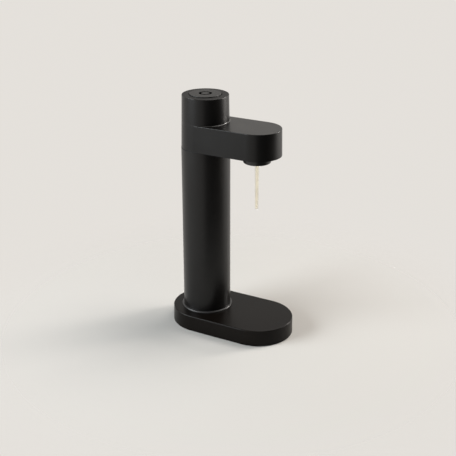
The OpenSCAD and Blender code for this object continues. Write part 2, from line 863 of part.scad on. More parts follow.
module head_housing() {
    color(BLACK)
        at_column()
            difference() {
                union() {
                    difference() {
                        union() {
                            rotate_extrude()
                                side_profile(head_r, arm_z, head_top, head_draft, head_edge_r);
                            tongue(0, reach) side_profile(head_r, arm_z, arm_top, head_draft, head_edge_r);
                        }
                        rotate_extrude()
                            plain_profile(head_in(arm_z - 1), arm_z - 1, head_in(well_z), well_z);
                        tongue(0, reach)
                            plain_profile(head_in(arm_z - 1), arm_z - 1, head_in(ceiling_z), ceiling_z);
                    }
                    ring(sleeve_r, sleeve_in, well_z - sleeve_l, well_z + 1);
                    for (p = housing_screw_at)
                        translate([p[0], p[1], frame_top]) cylinder(r = boss_r, h = ceiling_z - frame_top + 1);
                }
                translate([0, 0, well_z - 1]) cylinder(r = hole_r, h = head_wall + 2);
                translate([0, 0, arm_z - 1]) cylinder(r = ledge_r + set_gap, h = ledge_t + set_gap + 1);
                for (p = housing_screw_at)
                    translate([p[0], p[1], frame_top - 1])
                        cylinder(r = screw_r + run_gap, h = housing_bite + bite_room + 1);
            }
}

module housing_screws() {
    color(STEEL)
        at_column()
            for (p = housing_screw_at)
                translate([p[0], p[1], 0]) screw(frame_z, frame_t + housing_bite);
}

module arm_cover() {
    r = head_in(arm_z + cover_t) - set_gap;
    color(BLACK_PART)
        at_column()
            difference() {
                tongue(cover_start, reach) plain_profile(r, arm_z, r, arm_z + cover_t);
                translate([0, 0, arm_z - 1]) cylinder(r = ledge_r + free_gap, h = cover_t + 2);
                translate([reach, 0, arm_z - 1]) cylinder(r = socket_r + set_gap, h = cover_t + 2);
                for (p = cover_screw_at)
                    translate([p[0], p[1], 0]) flush_hole(arm_z, cover_t + 1);
            }
}

module cover_screws() {
    color(STEEL)
        at_column()
            for (p = cover_screw_at)
                translate([p[0], p[1], 0]) flush_screw(arm_z, cover_t + cover_bite);
}

module lever_bracket() {
    ear_h = pivot_z - block_top;
    color(STEEL)
        at_column()
            difference() {
                union() {
                    translate([-pivot_x - ear_r, -bracket_w / 2, block_top])
                        cube([pivot_x + ear_r + bracket_front, bracket_w, bracket_t]);
                    for (y = [ear_in, -ear_in - ear_t])
                        translate([-pivot_x, y, 0]) {
                            translate([-ear_r, 0, block_top]) cube([2 * ear_r, ear_t, ear_h]);
                            translate([0, 0, pivot_z]) rotate([-90, 0, 0]) cylinder(r = ear_r, h = ear_t);
                        }
                }
                translate([0, 0, block_top - 1]) cylinder(r = gland_r + free_gap, h = bracket_t + 2);
                translate([-pivot_x, -bracket_w / 2, pivot_z])
                    rotate([-90, 0, 0]) cylinder(r = pivot_d / 2 + run_gap, h = bracket_w);
                for (p = bracket_screw)
                    translate([p[0], p[1], block_top - 1]) cylinder(r = screw_r + run_gap, h = bracket_t + 2);
            }
}

module bracket_screws() {
    color(STEEL)
        at_column()
            for (p = bracket_screw)
                translate([p[0], p[1], 2 * (block_top + bracket_t)])
                    mirror([0, 0, 1])
                        translate([0, 0, block_top + bracket_t]) screw(0, bracket_t + bracket_bite);
}

module lever() {
    nose = post_d / 2 + nose_over;
    color(STEEL)
        at_column()
            difference() {
                union() {
                    translate([-pivot_x, -lever_w / 2, lever_z])
                        cube([pivot_x + post_x + nose, lever_w, lever_t]);
                    translate([-pivot_x, -lever_w / 2, pivot_z])
                        rotate([-90, 0, 0]) cylinder(r = barrel_r, h = lever_w);
                }
                translate([-pivot_x, -lever_w, pivot_z])
                    rotate([-90, 0, 0]) cylinder(r = pivot_d / 2 + run_gap, h = 2 * lever_w);
            }
}

module lever_pin() {
    l = 2 * (ear_in + ear_t) + 2;
    color(STEEL)
        at_column()
            translate([-pivot_x, -l / 2, pivot_z]) rotate([-90, 0, 0]) cylinder(r = pivot_d / 2, h = l);
}

module button_cap() {
    e = 0.6;
    mark_depth = 0.5;
    color(BLACK_PART)
        at_column()
            union() {
                rotate_extrude()
                    difference() {
                        union() {
                            polygon([[0, cap_z], [button_r - cap_wall, cap_z],
                                [button_r - cap_wall, spring_top], [skirt_in, spring_top],
                                [skirt_in, stop_z - skirt_l], [skirt_r, stop_z - skirt_l],
                                [skirt_r, stop_z], [button_r, stop_z], [button_r, button_top - e],
                                [button_r - e, button_top - e], [button_r - e, button_top],
                                [0, button_top]]);
                            corner(button_r - e, button_top - e, e, 0, 90);
                        }
                        translate([mark_d / 2 - mark_w, button_top - mark_depth]) square([mark_w, 1]);
                    }
                translate([post_x, 0, lever_top + push_gap + post_d / 2])
                    cylinder(r = post_d / 2, h = post_l - push_gap - post_d / 2 + 1);
                translate([post_x, 0, lever_top + push_gap + post_d / 2])
                    rotate_extrude() corner(0, 0, post_d / 2, -90, 0);
            }
}

module button_spring() {
    color(STEEL)
        at_column() translate([0, 0, block_top]) coil(spring_r, spring_wire, spring_top - block_top, 5);
}

module manifold() {
    color(BRASS)
        at_nozzle()
            difference() {
                union() {
                    translate([0, 0, frame_z]) cylinder(r = manifold_spigot, h = frame_t);
                    translate([0, 0, frame_top]) cylinder(r = manifold_flange_r, h = manifold_flange_t);
                    translate([0, 0, frame_top]) cylinder(r = manifold_r, h = manifold_h);
                }
                translate([0, 0, frame_z - 1])
                    cylinder(r = lance_d / 2 + run_gap, h = lance_top - frame_z + 1.1);
                translate([0, 0, frame_z - 1]) cylinder(r = lance_d / 2 + 2.2, h = 3.3);
                translate([0, 0, lance_top - 1]) cylinder(r = gas_bore - 0.3, h = gas_z - lance_top + 1);
                translate([-manifold_r - 1, 0, gas_z])
                    rotate([0, 90, 0]) cylinder(r = gas_bore, h = manifold_r + gas_bore + 1.6);
                translate([-manifold_r - 1, 0, gas_z])
                    rotate([0, 90, 0]) cylinder(r = gas_r + run_gap, h = inlet_depth + 1);
                translate([0, 0, lance_top + 1])
                    rotate([0, 90 + port_slope, 0]) cylinder(r = 1, h = relief_x / cos(port_slope));
                translate([relief_x, 0, port_z - 1]) cylinder(r = gas_bore, h = relief_z - port_z + 2);
                for (a = socket_turn)
                    translate([socket_screw_ring * cos(a), socket_screw_ring * sin(a), frame_top - 1])
                        cylinder(r = screw_r + run_gap, h = manifold_flange_t - 0.5);
            }
}

module bottle_socket() {
    e = 2;
    color(BLACK_PART)
        at_nozzle()
            difference() {
                rotate_extrude()
                    union() {
                        polygon([[0, socket_z], [socket_r - e, socket_z], [socket_r - e, socket_z + e],
                            [socket_r, socket_z + e], [socket_r, frame_z - socket_flange_t],
                            [socket_flange_r, frame_z - socket_flange_t], [socket_flange_r, frame_z],
                            [0, frame_z]]);
                        corner(socket_r - e, socket_z + e, e, -90, 0);
                    }
                translate([0, 0, socket_z - 1]) cylinder(r = neck_d / 2, h = neck_depth + 1);
                translate([0, 0, socket_z - 1]) cylinder(r1 = neck_d / 2 + 2, r2 = neck_d / 2, h = 2);
                translate([0, 0, neck_top - 1]) cylinder(r = lance_d / 2 + run_gap, h = frame_z - neck_top + 2);
                translate([0, 0, collar_z]) cylinder(r = lance_d / 2 + 3 + run_gap, h = frame_z - collar_z + 1);
                for (a = socket_turn)
                    rotate([0, 0, a])
                        translate([socket_screw_ring, 0, frame_z - socket_flange_t - 1])
                            cylinder(r = screw_r + run_gap, h = socket_flange_t + 2);
            }
}

module socket_screws() {
    color(STEEL)
        at_nozzle()
            for (a = socket_turn)
                translate([socket_screw_ring * cos(a), socket_screw_ring * sin(a), 0])
                    screw(frame_z - socket_flange_t, socket_flange_t + frame_t + socket_bite);
}

module bottle_seal() {
    color(RUBBER)
        at_nozzle() ring(neck_d / 2 - run_gap, neck_d / 2 - seal_w, neck_top - seal_t, neck_top);
}

module lance() {
    r = lance_d / 2;
    tip = lance_tip_d / 2;
    color(LANCE)
        at_nozzle()
            rotate_extrude()
                polygon([[0.8, lance_z], [tip - 0.8, lance_z], [tip, lance_z + 1.5], [r, neck_top],
                    [r, collar_z], [r + 3, collar_z], [r + 3, frame_z - run_gap], [r, frame_z - run_gap],
                    [r, lance_top], [gas_bore, lance_top], [gas_bore, lance_z + 4], [0.8, lance_z + 3]]);
}

module lance_oring() {
    color(RUBBER)
        at_nozzle()
            translate([0, 0, frame_z + 1.1])
                rotate_extrude() translate([lance_d / 2 + 1.1, 0]) circle(r = 1, $fn = 32);
}

module relief_body() {
    color(BRASS)
        at_nozzle()
            translate([relief_x, 0, relief_z])
                difference() {
                    cylinder(r = relief_r, h = relief_h);
                    translate([0, 0, -1]) cylinder(r = relief_in, h = relief_h - relief_lid + 1);
                    cylinder(r = vent_r, h = relief_h + 1);
                }
}

module relief_poppet() {
    color(RUBBER)
        at_nozzle()
            translate([relief_x, 0, relief_z + poppet_gap])
                union() {
                    cylinder(r = relief_in - 0.15, h = poppet_t);
                    cylinder(r = stem_r, h = stem_h);
                }
}

module relief_spring() {
    z0 = relief_z + poppet_gap + poppet_t;
    color(STEEL)
        at_nozzle()
            translate([relief_x, 0, z0])
                coil(relief_in - relief_wire - 0.4, relief_wire, relief_z + relief_h - relief_lid - z0, 5);
}

base_housing();
base_plate();
rubber_feet();
base_screws();
column_foot();
foot_screws();
column_collar();
column_tube();
tie_rods();
tie_rod_nuts();
cylinder_guide();
gas_cylinder();
cylinder_valve();
valve_pin();
cylinder_gasket();
valve_block();
block_screws();
plunger();
plunger_oring();
gas_elbow();
gas_tube();
inlet_nut();
head_frame();
head_housing();
housing_screws();
arm_cover();
cover_screws();
lever_bracket();
bracket_screws();
lever();
lever_pin();
button_cap();
button_spring();
manifold();
bottle_socket();
socket_screws();
bottle_seal();
lance();
lance_oring();
relief_body();
relief_poppet();
relief_spring();
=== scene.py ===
"""Countertop sparkling water maker, dressed for a studio picture.

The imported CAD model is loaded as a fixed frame. Every solid gets a procedural finish, and the
fine pieces that the solids leave plain or coarse are added: springs of round wire, recessed
screws, the thread in the socket, the mark on the button and the fillet at the foot of the head's
drum. A pale floor, soft lights and the camera complete the scene. Lengths are in metres, in the
frame of the CAD model, and places are read from its boxes, joints and mounts where it has them.
"""

import json
import logging
import math
from dataclasses import dataclass
from enum import Enum
from typing import Any, ClassVar, Mapping, Optional, Sequence, Union

import bmesh
import bpy
import numpy as np
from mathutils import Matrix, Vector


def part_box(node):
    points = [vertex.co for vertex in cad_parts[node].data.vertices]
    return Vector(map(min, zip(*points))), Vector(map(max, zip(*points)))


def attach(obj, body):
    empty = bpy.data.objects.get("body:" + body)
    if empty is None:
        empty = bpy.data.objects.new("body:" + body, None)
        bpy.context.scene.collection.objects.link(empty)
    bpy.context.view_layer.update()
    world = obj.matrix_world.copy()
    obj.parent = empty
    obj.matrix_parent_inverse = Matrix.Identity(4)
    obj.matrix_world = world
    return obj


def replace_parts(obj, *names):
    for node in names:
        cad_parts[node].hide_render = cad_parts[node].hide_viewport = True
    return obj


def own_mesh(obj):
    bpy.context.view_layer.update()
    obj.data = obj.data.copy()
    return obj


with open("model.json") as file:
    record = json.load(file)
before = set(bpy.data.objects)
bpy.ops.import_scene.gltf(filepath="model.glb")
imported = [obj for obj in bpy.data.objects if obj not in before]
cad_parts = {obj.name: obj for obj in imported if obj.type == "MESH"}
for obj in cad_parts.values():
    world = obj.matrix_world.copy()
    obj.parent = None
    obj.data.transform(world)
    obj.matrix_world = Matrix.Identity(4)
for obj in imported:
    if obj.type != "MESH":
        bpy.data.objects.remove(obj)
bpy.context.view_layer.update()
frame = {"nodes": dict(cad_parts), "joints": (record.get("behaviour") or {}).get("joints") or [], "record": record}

LOG = logging.getLogger("water_maker")
MM = 0.001
TURN = 2 * math.pi
SHARP_ANGLE = math.radians(40)

Colour = tuple[float, float, float, float]
Point = tuple[float, float, float]
Spot = tuple[float, float]
Span = tuple[float, float]
Term = Union["Val", float]
Tint = Union["Val", Colour]


class Body(str, Enum):
    """CAD bodies that the scene's own pieces ride on."""

    FRAME = "body"
    BUTTON = "button"


class Slot(str, Enum):
    """Names of material slots of the record."""

    BLACK_PLASTIC = "black_plastic"
    BUTTON_PLASTIC = "button_plastic"
    SOCKET_PLASTIC = "socket_plastic"
    BRIGHT_STEEL = "bright_steel"
    BLACK_SCREW = "black_screw"


class Joint(str, Enum):
    """Joints of the CAD model that the scene reads."""

    BUTTON = "button_press"
    RELIEF = "relief_lift"
    CYLINDER = "cylinder_unscrew"

    def facts(self) -> Mapping[str, Any]:
        """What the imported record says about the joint."""
        return next(joint for joint in frame["joints"] if joint["name"] == self.value)


class Mount(str, Enum):
    """Mounts of the CAD model that mark an axis."""

    FOOT = "rest_face"
    SOCKET = "bottle_socket"

    def place(self) -> Point:
        """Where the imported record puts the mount."""
        return next(tuple(m["pos_m"]) for m in frame["record"]["mounts"] if m["name"] == self.value)


@dataclass(frozen=True)
class NodeBox:
    """Box of a CAD node at rest, which gives the places and sizes of what goes with the node."""

    low: Point
    high: Point

    @classmethod
    def of(cls, node: str) -> "NodeBox":
        """Box of the node with that name."""
        low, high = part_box(node)
        return cls(tuple(low), tuple(high))

    @property
    def middle(self) -> Spot:
        """X and Y of the box's middle."""
        return (self.low[0] + self.high[0]) / 2, (self.low[1] + self.high[1]) / 2

    @property
    def half(self) -> Spot:
        """Half of the box's length along X, and half of its width along Y."""
        return (self.high[0] - self.low[0]) / 2, (self.high[1] - self.low[1]) / 2

    @property
    def foot(self) -> float:
        """Height of the box's underside."""
        return self.low[2]

    @property
    def top(self) -> float:
        """Height of the box's upper side."""
        return self.high[2]


@dataclass(frozen=True)
class HeadForm:
    """Outline of the head: a drum and an arm whose walls lean in with one draft."""

    box: NodeBox
    draft: float = math.radians(1.2)
    arm_h: float = 44.6 * MM

    @property
    def arm_top(self) -> float:
        """Height of the arm's upper face."""
        return self.box.foot + self.arm_h

    def wall_r(self, z: float) -> float:
        """Radius of the drum, and half width of the arm, at a height."""
        return self.box.half[1] - (z - self.box.foot) * math.tan(self.draft)


COLUMN_X = Joint.CYLINDER.facts()["pos_m"][0]
SOCKET_X = Mount.SOCKET.place()[0]
BASE_BOX = NodeBox.of("base_housing")
BASE_RUN = BASE_BOX.half[0] - BASE_BOX.half[1]
HEAD_FORM = HeadForm(NodeBox.of("head_housing"))
CAP_TOP = NodeBox.of("button_cap").top
BUTTON_R = 26.2 * MM
BUTTON_GAP = 0.8 * MM


class Val:
    """Shader socket that takes part in Python expressions."""

    def __init__(self, graph: "Graph", socket: bpy.types.NodeSocket) -> None:
        """Keep the socket and the graph that its nodes go into."""
        self.graph = graph
        self.socket = socket

    def __add__(self, other: Term) -> "Val":
        """Sum of two values."""
        return self.graph.maths("ADD", self, other)

    __radd__ = __add__

    def __sub__(self, other: Term) -> "Val":
        """Difference of two values."""
        return self.graph.maths("SUBTRACT", self, other)

    def __rsub__(self, other: Term) -> "Val":
        """Difference, with a number on the left."""
        return self.graph.maths("SUBTRACT", other, self)

    def __mul__(self, other: Term) -> "Val":
        """Product of two values."""
        return self.graph.maths("MULTIPLY", self, other)

    __rmul__ = __mul__

    def __abs__(self) -> "Val":
        """Size of a value without its sign."""
        return self.graph.maths("ABSOLUTE", self)

    def swing(self, size: float) -> "Val":
        """Change of half the size either way, from a value between 0 and 1."""
        return size * (self - 0.5)


class Graph:
    """Node tree with one way to add a node, and short forms for the common ones."""

    def __init__(self, tree: bpy.types.NodeTree) -> None:
        """Start from an empty tree."""
        self.tree = tree
        tree.nodes.clear()

    def node(
        self,
        kind: str,
        settings: Optional[Mapping[str, Any]] = None,
        sockets: Optional[Mapping[Union[str, int], Any]] = None,
    ) -> bpy.types.Node:
        """Add a node.

        Args:
            kind: Blender's name for the node's type.
            settings: Properties of the node, which are set first.
            sockets: Values or links of its inputs, by name or number.

        Returns:
            The new node.
        """
        made = self.tree.nodes.new(kind)
        for name, setting in (settings or {}).items():
            setattr(made, name, setting)
        for key, value in (sockets or {}).items():
            if isinstance(value, Val):
                self.tree.links.new(value.socket, made.inputs[key])
            else:
                made.inputs[key].default_value = value
        return made

    def out(self, made: bpy.types.Node, key: Union[str, int] = 0) -> Val:
        """Output of a node as a value."""
        return Val(self, made.outputs[key])

    def maths(self, operation: str, *terms: Term) -> Val:
        """Math node whose inputs are the terms in order."""
        return self.out(self.node("ShaderNodeMath", {"operation": operation}, dict(enumerate(terms))))

    def most(self, first: Term, second: Term) -> Val:
        """Larger of two values."""
        return self.maths("MAXIMUM", first, second)

    def place(self) -> Val:
        """Object coordinates of the shaded point."""
        return self.out(self.node("ShaderNodeTexCoord"), "Object")

    def axes(self, vector: Val) -> tuple[Val, Val, Val]:
        """X, Y and Z of a vector."""
        made = self.node("ShaderNodeSeparateXYZ", None, {0: vector})
        return self.out(made, 0), self.out(made, 1), self.out(made, 2)

    def stretched(self, vector: Val, by: Point) -> Val:
        """Vector with each axis multiplied by its own number."""
        return self.out(self.node("ShaderNodeVectorMath", {"operation": "MULTIPLY"}, {0: vector, 1: by}))

    def dot(self, vector: Val, way: Point) -> Val:
        """Share of a vector along a fixed direction."""
        made = self.node("ShaderNodeVectorMath", {"operation": "DOT_PRODUCT"}, {0: vector, 1: way})
        return self.out(made, "Value")

    def away(self, x: Val, y: Val) -> Val:
        """Distance of the flat point x, y from 0, 0."""
        return self.maths("SQRT", x * x + y * y)

    def noise(self, vector: Val, size: float, detail: float = 2.0) -> Val:
        """Noise between 0 and 1 whose lumps are about as large as size, in metres."""
        made = self.node("ShaderNodeTexNoise", None, {"Vector": vector, "Scale": 1 / size, "Detail": detail})
        return self.out(made, 0)

    def ease(self, value: Term, low: float, high: float) -> Val:
        """Smooth step from 0 at low to 1 at high."""
        made = self.node(
            "ShaderNodeMapRange",
            {"interpolation_type": "SMOOTHSTEP"},
            {0: value, 1: low, 2: high, 3: 0.0, 4: 1.0},
        )
        return self.out(made)

    def band(self, value: Val, middle: float, half: float, flat: float = 0.4) -> Val:
        """1 over the flat share of a band about its middle, easing to 0 at its two edges."""
        return 1.0 - self.ease(abs(value - middle), flat * half, half)

    def blend(self, share: Term, first: Tint, second: Tint) -> Val:
        """Colour that goes from first to second with the share."""
        made = self.node("ShaderNodeMix", {"data_type": "RGBA"}, {0: share, 6: first, 7: second})
        return self.out(made, 2)

    def bump(self, height: Val, depth: float) -> Val:
        """Normal of a surface raised by height times depth, in metres."""
        made = self.node("ShaderNodeBump", None, {"Strength": 1.0, "Distance": depth, "Height": height})
        return self.out(made)

    def surface(self, sockets: Mapping[str, Any]) -> Val:
        """Principled shader with the given sockets."""
        return self.out(self.node("ShaderNodeBsdfPrincipled", None, sockets))


def lit(colour: Colour, gain: float) -> Colour:
    """Colour made lighter or darker by a factor."""
    return colour[0] * gain, colour[1] * gain, colour[2] * gain, 1.0


@dataclass(frozen=True)
class Finish:
    """Base of every finish: makes its material once and hands it out after that."""

    name: str
    made: ClassVar[dict[str, bpy.types.Material]] = {}

    def material(self) -> bpy.types.Material:
        """Material of this finish.

        Returns:
            The material, which is built at the first call.
        """
        if self.name not in self.made:
            new = bpy.data.materials.new(self.name)
            new.use_nodes = True
            graph = Graph(new.node_tree)
            graph.node("ShaderNodeOutputMaterial", None, {"Surface": self.shade(graph)})
            self.made[self.name] = new
        return self.made[self.name]

    def shade(self, g: Graph) -> Val:
        """Shader of the finish; every finish gives its own."""
        raise NotImplementedError


@dataclass(frozen=True)
class MattCoat(Finish):
    """Matt black plastic or powder coat: a fine pebble, slow clouds and a soft sheen.

    The coats of single pieces say where they are dark, worn or dull.
    """

    colour: Colour = (0.0060, 0.0055, 0.0052, 1.0)
    rough: float = 0.32
    sheen: float = 0.28
    polish: float = 0.0
    polish_rough: float = 0.22
    pebble: float = 0.45 * MM
    depth: float = 0.01 * MM
    cloud: float = 50 * MM
    cloud_tint: float = 0.2
    cloud_rough: float = 0.10
    dark_gain: float = 0.15
    dark_rough: float = 0.35
    dull_rough: float = 0.25
    scuff: float = 30 * MM
    scuff_span: Span = (0.35, 0.65)
    scuff_least: float = 0.6
    rim_in: float = 0.25 * MM
    rim_w: float = 0.9 * MM
    rim_h: float = 1.2 * MM

    def dark(self, g: Graph, place: Val) -> Term:
        """Share of shadow in grooves and seams; none on a plain piece."""
        return 0.0

    def worn(self, g: Graph, place: Val) -> Term:
        """Share of polish on rims that are often touched; even on a plain piece."""
        return 1.0

    def dull(self, g: Graph, place: Val) -> Term:
        """Share of extra roughness on faces with a coarser texture; none on a plain piece."""
        return 0.0

    def rim(self, g: Graph, away: Val, radius: float) -> Val:
        """Share of a rim that lies just inside a radius, by the distance from its axis."""
        return g.ease(away, radius - self.rim_in - self.rim_w, radius - self.rim_in)

    def upper(self, g: Graph, z: Val, top: float, deep: float) -> Val:
        """Share that grows from a depth below a top to a quarter of that depth."""
        return g.ease(z, top - deep, top - deep / 4)

    def scuffed(self, g: Graph, place: Val) -> Val:
        """Slow change, between the least share and 1, of how well a rim is polished."""
        bright = g.ease(g.noise(place, self.scuff, detail=3.0), *self.scuff_span)
        return self.scuff_least + (1 - self.scuff_least) * bright

    def shade(self, g: Graph) -> Val:
        """Black with slow clouds; dark places are rougher too, and worn ones get a polished skin.

        Args:
            g: Graph of the material.

        Returns:
            The shader.
        """
        place = g.place()
        cloud = g.noise(place, self.cloud, detail=3.0)
        grain = g.noise(place, self.pebble, detail=1.0)
        dark = self.dark(g, place)
        tint = g.blend(cloud, lit(self.colour, 1 - self.cloud_tint), lit(self.colour, 1 + self.cloud_tint))
        rough = self.rough + cloud.swing(self.cloud_rough) + self.dark_rough * dark
        return g.surface({
            "Base Color": g.blend(dark, tint, lit(self.colour, self.dark_gain)),
            "Roughness": rough + self.dull_rough * self.dull(g, place),
            "Specular IOR Level": self.sheen,
            "Coat Weight": self.polish * self.worn(g, place),
            "Coat Roughness": self.polish_rough,
            "Normal": g.bump(grain, self.depth),
        })


@dataclass(frozen=True)
class TubeCoat(MattCoat):
    """Powder coat of the column, with the shadow of the seam under the head."""

    seam_half: float = 0.8 * MM

    def dark(self, g: Graph, place: Val) -> Term:
        """Line around the column at the height of the seam."""
        return g.band(g.axes(place)[2], HEAD_FORM.box.foot, self.seam_half)


@dataclass(frozen=True)
class HeadCoat(TubeCoat):
    """Coat of the head housing: the seam below, and rims polished by use above."""

    lip: float = 0.3 * MM
    lip_w: float = 0.5 * MM
    lip_low: float = 3 * MM
    lip_high: float = 2 * MM
    flat: float = 0.4 * MM

    def dark(self, g: Graph, place: Val) -> Term:
        """Seam below, and the edge of the button's hole above, where no light reaches.

        Args:
            g: Graph of the material.
            place: Object coordinates.

        Returns:
            Share of shadow.
        """
        x, y, z = g.axes(place)
        edge = BUTTON_R + BUTTON_GAP + self.lip
        hole = 1.0 - g.ease(g.away(x - COLUMN_X, y), edge, edge + self.lip_w)
        above = g.ease(z, HEAD_FORM.box.top - self.lip_low, HEAD_FORM.box.top - self.lip_high)
        return g.most(hole * above, super().dark(g, place))

    def worn(self, g: Graph, place: Val) -> Term:
        """Rim of the drum's top and rim of the arm's top, broken up by noise.

        The arm's outline is all points at one distance from the line between its two axes.

        Args:
            g: Graph of the material.
            place: Object coordinates.

        Returns:
            Share of polish.
        """
        x, y, z = g.axes(place)
        top, arm_top = HEAD_FORM.box.top, HEAD_FORM.arm_top
        along = x - COLUMN_X
        on_line = g.maths("MINIMUM", g.most(along, 0.0), SOCKET_X - COLUMN_X)
        drum = self.rim(g, g.away(along, y), HEAD_FORM.wall_r(top)) * self.upper(g, z, top, self.rim_h)
        arm = self.rim(g, g.away(along - on_line, y), HEAD_FORM.wall_r(arm_top))
        return g.most(drum, arm * g.band(z, arm_top, self.rim_h)) * self.scuffed(g, place)

    def dull(self, g: Graph, place: Val) -> Term:
        """Top of the drum, around the button."""
        return self.upper(g, g.axes(place)[2], HEAD_FORM.box.top, self.flat)


@dataclass(frozen=True)
class BaseCoat(MattCoat):
    """Coat of the base, with its upper rim polished a little by use."""

    rim_in: float = 1.1 * MM
    rim_w: float = 1.2 * MM
    rim_h: float = 2.2 * MM

    def worn(self, g: Graph, place: Val) -> Term:
        """Rim of the base's top, at one distance from the line between the two end axes.

        Args:
            g: Graph of the material.
            place: Object coordinates.

        Returns:
            Share of polish.
        """
        x, y, z = g.axes(place)
        past = g.most(abs(x) - BASE_RUN, 0.0)
        rim = self.rim(g, g.away(past, y), BASE_BOX.half[1])
        return rim * self.upper(g, z, BASE_BOX.top, self.rim_h) * self.scuffed(g, place)


@dataclass(frozen=True)
class ButtonCoat(MattCoat):
    """Satin coat of the button, rubbed smooth along its rim."""

    rim_in: float = 0.4 * MM
    rim_w: float = 0.8 * MM
    wall_in: Span = (0.3 * MM, 0.1 * MM)
    wall_top: Span = (1.0 * MM, 0.5 * MM)

    def worn(self, g: Graph, place: Val) -> Term:
        """Rim of the button's top, broken up by noise.

        Args:
            g: Graph of the material.
            place: Object coordinates.

        Returns:
            Share of polish.
        """
        x, y, z = g.axes(place)
        rim = self.rim(g, g.away(x - COLUMN_X, y), BUTTON_R)
        return rim * self.upper(g, z, CAP_TOP, self.rim_h) * self.scuffed(g, place)

    def dark(self, g: Graph, place: Val) -> Term:
        """Wall of the button below its rim, inside the gap around it.

        Args:
            g: Graph of the material.
            place: Object coordinates.

        Returns:
            Share of shadow.
        """
        x, y, z = g.axes(place)
        away = g.away(x - COLUMN_X, y)
        wall = g.ease(away, BUTTON_R - self.wall_in[0], BUTTON_R - self.wall_in[1])
        return wall * (1.0 - g.ease(z, CAP_TOP - self.wall_top[0], CAP_TOP - self.wall_top[1]))


@dataclass(frozen=True)
class Metal(Finish):
    """Bare or plated metal with patches of dull and bright, and fine lines from turning."""

    colour: Colour = (0.60, 0.61, 0.63, 1.0)
    rough: float = 0.30
    dull_gain: float = 0.75
    patch: float = 6 * MM
    patch_rough: float = 0.20
    lines: float = 0.3 * MM
    along: Point = (0.05, 0.05, 1.0)
    depth: float = 0.006 * MM

    def shade(self, g: Graph) -> Val:
        """Metal whose colour and roughness follow a noise, over lines that run around Z.

        Args:
            g: Graph of the material.

        Returns:
            The shader.
        """
        place = g.place()
        patch = g.noise(place, self.patch, detail=4.0)
        line = g.noise(g.stretched(place, self.along), self.lines, detail=1.0)
        return g.surface({
            "Base Color": g.blend(patch, self.colour, lit(self.colour, self.dull_gain)),
            "Metallic": 1.0,
            "Roughness": self.rough + patch.swing(self.patch_rough),
            "Normal": g.bump(line, self.depth),
        })


@dataclass(frozen=True)
class CastSkin(Finish):
    """Skin of a sand or die casting: a dull metal with a lumpy surface."""

    colour: Colour = (0.50, 0.50, 0.52, 1.0)
    rough: float = 0.52
    lump: float = 2.2 * MM
    hollow_gain: float = 0.8
    fine: float = 0.6 * MM
    fine_rough: float = 0.15
    fine_share: float = 0.5
    depth: float = 0.05 * MM

    def shade(self, g: Graph) -> Val:
        """Dull metal with lumps of two sizes added together.

        Args:
            g: Graph of the material.

        Returns:
            The shader.
        """
        place = g.place()
        lump = g.noise(place, self.lump, detail=3.0)
        fine = g.noise(place, self.fine)
        return g.surface({
            "Base Color": g.blend(lump, lit(self.colour, self.hollow_gain), self.colour),
            "Metallic": 1.0,
            "Roughness": self.rough + fine.swing(self.fine_rough),
            "Normal": g.bump(lump + self.fine_share * fine, self.depth),
        })


@dataclass(frozen=True)
class Nylon(Finish):
    """Natural glass-filled nylon: off-white with short grey fibres."""

    colour: Colour = (0.62, 0.61, 0.56, 1.0)
    rough: float = 0.46
    fibre: float = 0.5 * MM
    along: Point = (0.2, 1.0, 1.0)
    fleck_span: Span = (0.55, 0.75)
    fleck_gain: float = 0.72
    cloud: float = 20 * MM
    cloud_rough: float = 0.12
    depth: float = 0.008 * MM

    def shade(self, g: Graph) -> Val:
        """Off-white flecked by a noise drawn out along X.

        Args:
            g: Graph of the material.

        Returns:
            The shader.
        """
        place = g.place()
        fleck = g.ease(g.noise(g.stretched(place, self.along), self.fibre), *self.fleck_span)
        cloud = g.noise(place, self.cloud)
        return g.surface({
            "Base Color": g.blend(fleck, self.colour, lit(self.colour, self.fleck_gain)),
            "Roughness": self.rough + cloud.swing(self.cloud_rough),
            "Normal": g.bump(fleck, self.depth),
        })


@dataclass(frozen=True)
class Rubber(Finish):
    """Moulded rubber with a faint bloom, and rings around the middle of each foot."""

    colour: Colour = (0.020, 0.020, 0.020, 1.0)
    rough: float = 0.70
    sheen: float = 0.35
    bloom: float = 4 * MM
    bloom_gain: float = 2.2
    bloom_rough: float = 0.16
    ring: float = 1.2 * MM
    depth: float = 0.1 * MM

    def shade(self, g: Graph) -> Val:
        """Rings are a sine of the distance from the nearest foot's axis.

        Args:
            g: Graph of the material.

        Returns:
            The shader.
        """
        place = g.place()
        x, y, _ = g.axes(place)
        foot_x, foot_y, _ = Mount.FOOT.place()
        ridges = g.maths("SINE", g.away(abs(x) - foot_x, abs(y) - foot_y) * (TURN / self.ring))
        bloom = g.noise(place, self.bloom, detail=4.0)
        return g.surface({
            "Base Color": g.blend(bloom, self.colour, lit(self.colour, self.bloom_gain)),
            "Roughness": self.rough + bloom.swing(self.bloom_rough),
            "Specular IOR Level": self.sheen,
            "Normal": g.bump(ridges, self.depth),
        })


